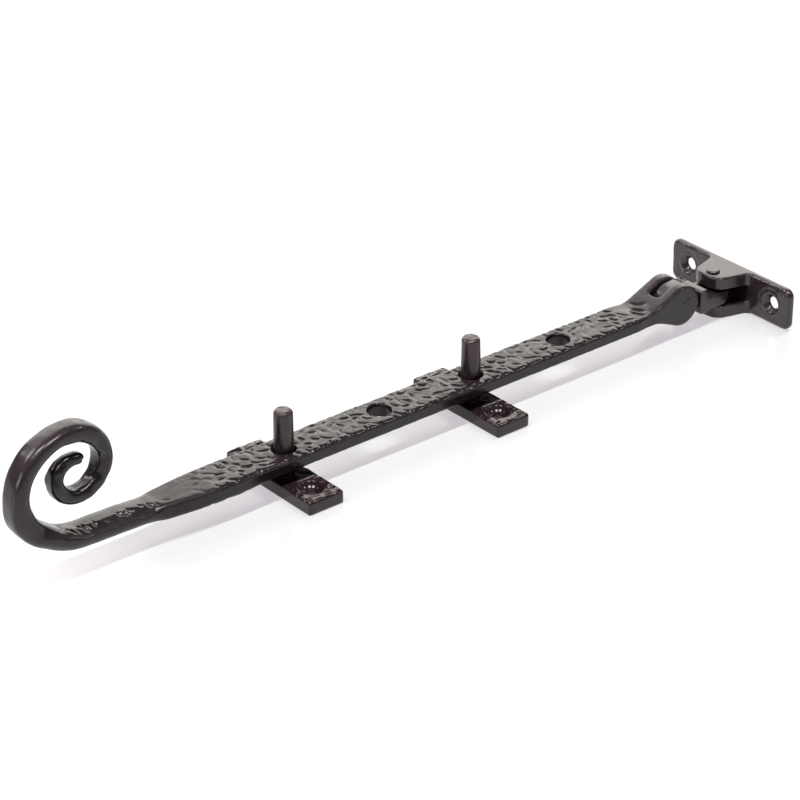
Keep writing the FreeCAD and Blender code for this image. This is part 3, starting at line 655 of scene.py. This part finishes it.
castLook = {
    "fineShare": 0.2,
    "proud": 0.05 * mm,
    "knuckle": {
        "grain": 0.24 * mm, "smoothing": 2,
        "wave": 0.06 * mm, "size": 3 * mm, "seed": 61, "stretch": (1.0, 1.0, 1.0),
        "notch": {
            "x": 131.4 * mm, "y": 4.6 * mm, "turn": 90.0, "length": 3.8 * mm, "width": 1.2 * mm,
            "depth": 0.7 * mm, "bend": 0.0,
        },
        "notchAbove": (13 * mm, 13.5 * mm),
    },
    "bracket": {
        "grain": 0.28 * mm, "smoothing": 4,
        "wave": 0.34 * mm, "size": 5 * mm, "seed": 71, "stretch": (1.0, 1.0, 0.4),
        "plate": {
            "facing": (0.5, 0.9), "from": (9 * mm, 11 * mm), "waveElsewhere": 0.12, "fineElsewhere": 0.2,
        },
        "ripple": {
            "y": 20.5 * mm, "z": 7.8 * mm, "radius": 5.2 * mm, "pitch": 2.4 * mm, "depth": 0.13 * mm,
            "facing": (0.6, 0.95), "patch": 4 * mm, "patchSeed": 77, "contrast": 0.7,
        },
    },
}


# Rings round the bracket's screw holes, stronger in some places than in others
def rippled(points, normals, ring):
    away = np.hypot(np.abs(points[:, 1]) - ring["y"], points[:, 2] - ring["z"]) - ring["radius"]
    patchy = (0.5 + ring["contrast"] * relief(points, ring["patch"], ring["patchSeed"])).clip(0, 1)
    rings = (1 + np.cos(away * math.tau / ring["pitch"])) * np.exp(-(away / ring["pitch"]) ** 2)
    return ease(-normals[:, 0], *ring["facing"]) * patchy * ring["depth"] * rings


def makeCasting(node, name, body):
    look = castLook[node]
    mesh = evenCopy(node, look)
    points, normals = readMesh(mesh)
    wave = relief(points, look["size"], look["seed"], look["stretch"]) * look["wave"]
    fine = relief(points, look["size"] / 3, look["seed"] + 1) * look["wave"] * castLook["fineShare"]
    if "plate" in look:
        plate = look["plate"]
        onPlate = ease(-normals[:, 0], *plate["facing"]) * ease(np.abs(points[:, 1]), *plate["from"])
        wave *= plate["waveElsewhere"] + (1 - plate["waveElsewhere"]) * onPlate
        fine *= plate["fineElsewhere"] + (1 - plate["fineElsewhere"]) * onPlate
        wave -= rippled(points, normals, look["ripple"])
    moved = points + normals * np.minimum(wave + fine, castLook["proud"])[:, None]
    if "notch" in look:
        top = ease(normals[:, 2], *upward) * ease(points[:, 2], *look["notchAbove"])
        moved[:, 2] -= struck(points[:, 0], points[:, 1], [mark(**look["notch"])]) * top
    writeMesh(mesh, moved)
    newPiece(name, mesh, body, "cast_black", node)


makeCasting("knuckle", "castKnuckle", "link")
makeCasting("bracket", "castBracket", "sash_side")


# Peg plates: hammered slabs with glossy countersinks

plateLook = {
    "grain": 0.25 * mm,
    "smoothing": 1,
    "thick": 4.5 * mm,
    "rounding": {"passes": 12, "regain": 0.34 * mm, "fromRim": (0.4 * mm, 1 * mm)},
    "sink": {
        "y": 14.1 * mm, "rim": 4.2 * mm, "curve": 4.6 * mm, "depth": 2.4 * mm,
        "hole": 2.1 * mm, "holeWall": 0.12 * mm,
        "lip": 0.16 * mm, "lipAt": 0.6 * mm, "lipWidth": 0.4 * mm,
    },
    "top": {
        "facing": (0.3, 0.85), "below": (0.9 * mm, 0.3 * mm), "fromRim": (0.6 * mm, 1.5 * mm),
        "sunk": 0.04 * mm, "size": 3 * mm, "wave": 0.04 * mm,
    },
    "strokes": {
        "gap": 3.6 * mm, "length": (2.4 * mm, 4.6 * mm), "width": (1.2 * mm, 1.8 * mm),
        "depth": (0.14 * mm, 0.28 * mm), "bend": 0.4, "turn": 20.0, "spread": 30.0, "along": 0.6,
    },
    "farEnd": {"from": (7 * mm, 10 * mm), "size": 3.5 * mm, "depth": 0.1 * mm},
    "farStrokes": {
        "gap": 3 * mm, "length": (3 * mm, 5 * mm), "width": (1.6 * mm, 2.4 * mm),
        "depth": (0.35 * mm, 0.7 * mm), "bend": 0.4, "turn": -40.0, "spread": 30.0, "along": 0.6,
    },
    "wear": {"size": 3 * mm, "depth": 0.1 * mm, "facing": 0.9, "fromRim": 0.5 * mm},
    "flatMiddle": {"half": (8.2 * mm, 9.6 * mm), "proudBeyond": 0.4 * mm},  # where the bar lies over it
}


# How deep the hammer sinks a plate's top: deeper at the far end
def plateTop(node, points, seed):
    look = plateLook
    top, farEnd = look["top"], look["farEnd"]
    low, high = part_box(node)
    marks = strikes(seed, (low.x, high.x, low.y, high.y), look["strokes"])
    marks += strikes(seed + 2, (low.x, high.x, farEnd["from"][0], high.y), look["farStrokes"])
    wave = relief(points, top["size"], seed) * top["wave"]
    far = ease(points[:, 1], *farEnd["from"]) * patches(points, farEnd["size"], seed + 9) * farEnd["depth"]
    return struck(points[:, 0], points[:, 1], marks) + top["sunk"] + wave + far


def makePlate(node, name, seed):
    look = plateLook
    sink, top, wear, thick = look["sink"], look["top"], look["wear"], look["thick"]
    mesh = evenCopy(node, look)
    points, _ = readMesh(mesh)
    fromRim = np.hypot(points[:, 0] - middleOf(node), np.abs(points[:, 1]) - sink["y"]) - sink["rim"]
    soften(mesh, ease(fromRim, *look["rounding"]["fromRim"]), look["rounding"])
    points, normals = readMesh(mesh)
    _, y, z = points.T
    onTop = ease(normals[:, 2], *top["facing"]) * ease(z, thick - top["below"][0], thick - top["below"][1])
    worn = patches(points, wear["size"], seed + 5) * wear["depth"]
    worn = worn * (np.abs(normals[:, 2]) < wear["facing"]) * (fromRim > wear["fromRim"])
    moved = points - normals * worn[:, None]
    moved[:, 2] -= onTop * ease(fromRim, *top["fromRim"]) * plateTop(node, points, seed)
    moved[:, 2] += onTop * sink["lip"] * np.exp(-((fromRim - sink["lipAt"]) / sink["lipWidth"]) ** 2)
    # the countersinks are clean round bowls
    fromHole = fromRim + sink["rim"] - sink["hole"]
    bowl = (fromRim < 0) & (fromHole > sink["holeWall"]) & (z > thick - sink["depth"])
    rimDrop = math.sqrt(sink["curve"] ** 2 - sink["rim"] ** 2)
    moved[bowl, 2] = thick + rimDrop - np.sqrt(sink["curve"] ** 2 - (fromRim[bowl] + sink["rim"]) ** 2)
    middle = look["flatMiddle"]
    moved[:, 2] = moved[:, 2].clip(0.0, thick + middle["proudBeyond"] * ease(np.abs(y), *middle["half"]))
    writeMesh(mesh, moved)
    newPiece(name, mesh, "frame_side", "plate_black", node)


makePlate("peg_plate_scroll_end", "plateNearScroll", 83)
makePlate("peg_plate_middle", "plateAtMiddle", 97)


# Turned pieces: a half profile, softened at its corners and spun about the piece's axis

turning = {"bevelSteps": 4, "longest": 1.2 * mm, "cuts": 12, "weld": 1e-6}


def turned(profile, soft, place, steps):
    bm = bmesh.new()
    spots = [bm.verts.new((radius, 0.0, height)) for radius, height in profile]
    for first, second in zip(spots, spots[1:]):
        bm.edges.new((first, second))
    bmesh.ops.bevel(bm, geom=spots[1:-1], offset=soft, offset_type="OFFSET", segments=turning["bevelSteps"],
                    profile=0.5, affect="VERTICES", clamp_overlap=True, material=-1)
    long = [edge for edge in bm.edges if edge.calc_length() > turning["longest"]]
    bmesh.ops.subdivide_edges(bm, edges=long, cuts=turning["cuts"])
    bmesh.ops.spin(bm, geom=bm.verts[:] + bm.edges[:], axis=(0, 0, 1), cent=(0, 0, 0), angle=math.tau,
                   steps=steps, use_merge=True, use_duplicate=False)
    bmesh.ops.remove_doubles(bm, verts=bm.verts, dist=turning["weld"])
    bmesh.ops.recalc_face_normals(bm, faces=bm.faces)
    bmesh.ops.transform(bm, matrix=place, verts=bm.verts)
    return meshOf(bm, "turning")


pegLook = {
    "height": 26.8 * mm, "base": 3.6 * mm, "top": 3.2 * mm, "bevel": 0.9 * mm, "spigot": 2.5 * mm,
    "plate": 4.5 * mm, "soft": 0.3 * mm, "steps": 96,
    "wave": {"size": 2.8 * mm, "stretch": (1.0, 1.0, 0.4), "sunk": 0.6, "depth": 0.11 * mm},
    "crown": {"below": (1.8 * mm, 0.9 * mm), "size": 1.5 * mm, "lumps": 0.16 * mm},
}


def makePeg(node, name, seed):
    look = pegLook
    wave, crown, height = look["wave"], look["crown"], look["height"]
    profile = [
        (0.0, 0.0), (look["spigot"], 0.0), (look["spigot"], look["plate"]), (look["base"], look["plate"]),
        (look["top"], height - look["bevel"]), (look["top"] - look["bevel"], height), (0.0, height),
    ]
    place = Matrix.Translation((middleOf(node), 0.0, 0.0))
    mesh = turned(profile, look["soft"], place, look["steps"])
    points, normals = readMesh(mesh)
    out = (relief(points, wave["size"], seed, wave["stretch"]) - wave["sunk"]) * wave["depth"]
    onCrown = ease(points[:, 2], height - crown["below"][0], height - crown["below"][1])
    out += onCrown * relief(points, crown["size"], seed + 1) * crown["lumps"]
    writeMesh(mesh, points + normals * out[:, None])
    newPiece(name, mesh, "frame_side", "peg_black", node)


makePeg("peg_scroll_end", "pegNearScroll", 103)
makePeg("peg_middle", "pegAtMiddle", 107)


rivetLook = {
    "fork": {"radius": 2.1 * mm, "flare": 0.45 * mm, "half": 6.8 * mm, "height": 11.1 * mm, "soft": 0.1 * mm},
    "swivel": {
        "radius": 1.85 * mm, "flare": 0.65 * mm, "head": 2.4 * mm, "rise": 0.8 * mm, "bevel": 0.35 * mm,
        "plate": 15.6 * mm, "soft": 0.12 * mm,
    },
    "steps": 64,
}


def makeForkRivet():
    look = rivetLook["fork"]
    narrow, half, flare = look["radius"], look["half"], look["flare"]
    wide = narrow + flare
    profile = [
        (0.0, -half), (wide, -half), (narrow, flare - half),
        (narrow, half - flare), (wide, half), (0.0, half),
    ]
    middle = Matrix.Translation((middleOf("fork_pin"), 0.0, look["height"]))
    place = middle @ Matrix.Rotation(math.radians(90), 4, "X")
    mesh = turned(profile, look["soft"], place, rivetLook["steps"])
    newPiece("forkRivet", mesh, "arm", "hammered_black", "fork_pin")


def makeSwivelRivet():
    look = rivetLook["swivel"]
    narrow, flare, head, plate = look["radius"], look["flare"], look["head"], look["plate"]
    wide, crown = narrow + flare, plate + look["rise"]
    profile = [
        (0.0, 0.0), (wide, 0.0), (narrow, flare), (narrow, plate), (head, plate),
        (head, crown - look["bevel"]), (head - look["bevel"], crown), (0.0, crown),
    ]
    place = Matrix.Translation((middleOf("bracket_pin"), 0.0, 0.0))
    mesh = turned(profile, look["soft"], place, rivetLook["steps"])
    newPiece("swivelRivet", mesh, "sash_side", "cast_black", "bracket_pin")


makeForkRivet()
makeSwivelRivet()


# Studio: a pale floor, soft lamps and the camera

studio = {
    "floor": {
        "size": 6.0, "colour": (0.2, 0.22, 0.2), "rough": 0.2, "shine": 0.17,
        "glow": 0.55, "glowColour": (1.0, 0.935, 1.0),
        # painted light: the floor in front of the scroll glows more, which lightens the scroll's cast shadow
        # there, and the glow fades out at these places
        "patch": {"right": (-0.138, -0.104), "left": (-0.26, -0.19), "beside": (0.05, 0.14), "extra": 0.22},
    },
    "world": 0.2,
    "camera": {
        "place": (-0.54315, -0.6529, 0.4715), "yaw": 0.6919, "pitch": 0.4953, "roll": -0.0005,
        "lens": 132.913, "nearest": 0.05,
    },
    "aim": (0.0, 0.0, 0.01),
    # a lamp with "lights" off shows only in reflections, and one with "mirrored" off in none
    "lamps": {
        "backdrop": {
            "place": (0.75, 0.95, 0.62), "size": (2.4, 1.1), "power": 19.6, "colour": (1.0, 1.0, 0.92),
        },
        "sideBox": {
            "place": (-1.3, 0.12, 0.34), "size": (0.5, 0.3), "power": 2.6, "colour": (1.0, 0.96, 1.0),
        },
        "glintRight": {"place": (-0.1, -0.59, 1.04), "size": (0.36, 0.36), "power": 5.2, "lights": False},
        "glintLeft": {"place": (-0.56, -0.21, 1.04), "size": (0.36, 0.36), "power": 5.2, "lights": False},
        "edgeBox": {"place": (0.67, -0.58, 0.8), "size": (0.18, 0.18), "power": 1.0, "lights": False},
        "farBox": {
            "place": (-0.1, 1.0, 1.0), "size": (0.9, 0.5), "power": 1.8, "colour": (1.0, 1.0, 0.96),
        },
        "leftBox": {
            "place": (-0.85, 0.8, 1.0), "size": (0.35, 0.35), "power": 3.5, "colour": (1.0, 0.98, 1.0),
        },
        "overhead": {"place": (0.0, 0.0, 1.3), "size": (2.6, 0.06), "power": 43.0, "mirrored": False},
    },
}


def makeFloor():
    look = studio["floor"]
    patch = look["patch"]
    bm = bmesh.new()
    bmesh.ops.create_grid(bm, x_segments=1, y_segments=1, size=look["size"] / 2)
    floor = addToScene(bpy.data.objects.new("floor", meshOf(bm, "floor")))
    material = bpy.data.materials.new("floorWhite")
    surface = Surface(material, "Principled BSDF")
    x, y = surface.along(0), abs(surface.along(1))
    # painted light: extra glow on the floor that lightens the scroll's shadow
    paintedLightOverShadow = (1 - surface.ramp(x, *patch["right"])) * surface.ramp(x, *patch["left"])
    paintedLightOverShadow = paintedLightOverShadow * (1 - surface.ramp(y, *patch["beside"])) * patch["extra"]
    seen = (surface.ray("Camera") + surface.ray("Glossy") + surface.ray("Transmission")).clamped()
    surface.finish(
        Base_Color=(*look["colour"], 1.0),
        Roughness=look["rough"],
        Specular_IOR_Level=look["shine"],
        Emission_Color=surface.blend(seen * (paintedLightOverShadow + look["glow"]), (0.0, 0.0, 0.0), look["glowColour"]),
        Emission_Strength=1.0,
    )
    floor.data.materials.append(material)


def makeLamps():
    for name, lamp in studio["lamps"].items():
        light = bpy.data.lights.new(name, "AREA")
        light.shape = "RECTANGLE"
        light.size, light.size_y = lamp["size"]
        light.energy = lamp["power"]
        light.color = lamp.get("colour", (1.0, 1.0, 1.0))
        holder = addToScene(bpy.data.objects.new(name, light))
        holder.location = lamp["place"]
        aim = Vector(studio["aim"]) - Vector(lamp["place"])
        holder.rotation_euler = aim.to_track_quat("-Z", "Y").to_euler()
        holder.visible_glossy = lamp.get("mirrored", True)
        holder.visible_diffuse = lamp.get("lights", True)


# White where the camera sees it, and dimmer as light on the object
def makeWorld():
    world = bpy.data.worlds.new("studioAir")
    bpy.context.scene.world = world
    surface = Surface(world, "Background")
    dim = studio["world"]
    surface.finish(Color=(1.0, 1.0, 1.0, 1.0), Strength=surface.ray("Camera") * (1.0 - dim) + dim)


def makeCamera():
    look = studio["camera"]
    yaw, pitch = look["yaw"], look["pitch"]
    forward = Vector((math.sin(yaw) * math.cos(pitch), math.cos(yaw) * math.cos(pitch), -math.sin(pitch)))
    right = Vector((math.cos(yaw), -math.sin(yaw), 0.0))
    up = right.cross(forward)
    turn = Matrix((right, up, -forward)).transposed().to_4x4() @ Matrix.Rotation(look["roll"], 4, "Z")
    camera = addToScene(bpy.data.objects.new("camera", bpy.data.cameras.new("camera")))
    camera.data.lens = look["lens"]
    camera.data.clip_start = look["nearest"]
    camera.matrix_world = Matrix.Translation(look["place"]) @ turn
    bpy.context.scene.camera = camera


makeFloor()
makeLamps()
makeWorld()
makeCamera()
bpy.context.scene.view_settings.view_transform = "Standard"
print("studio: lit")
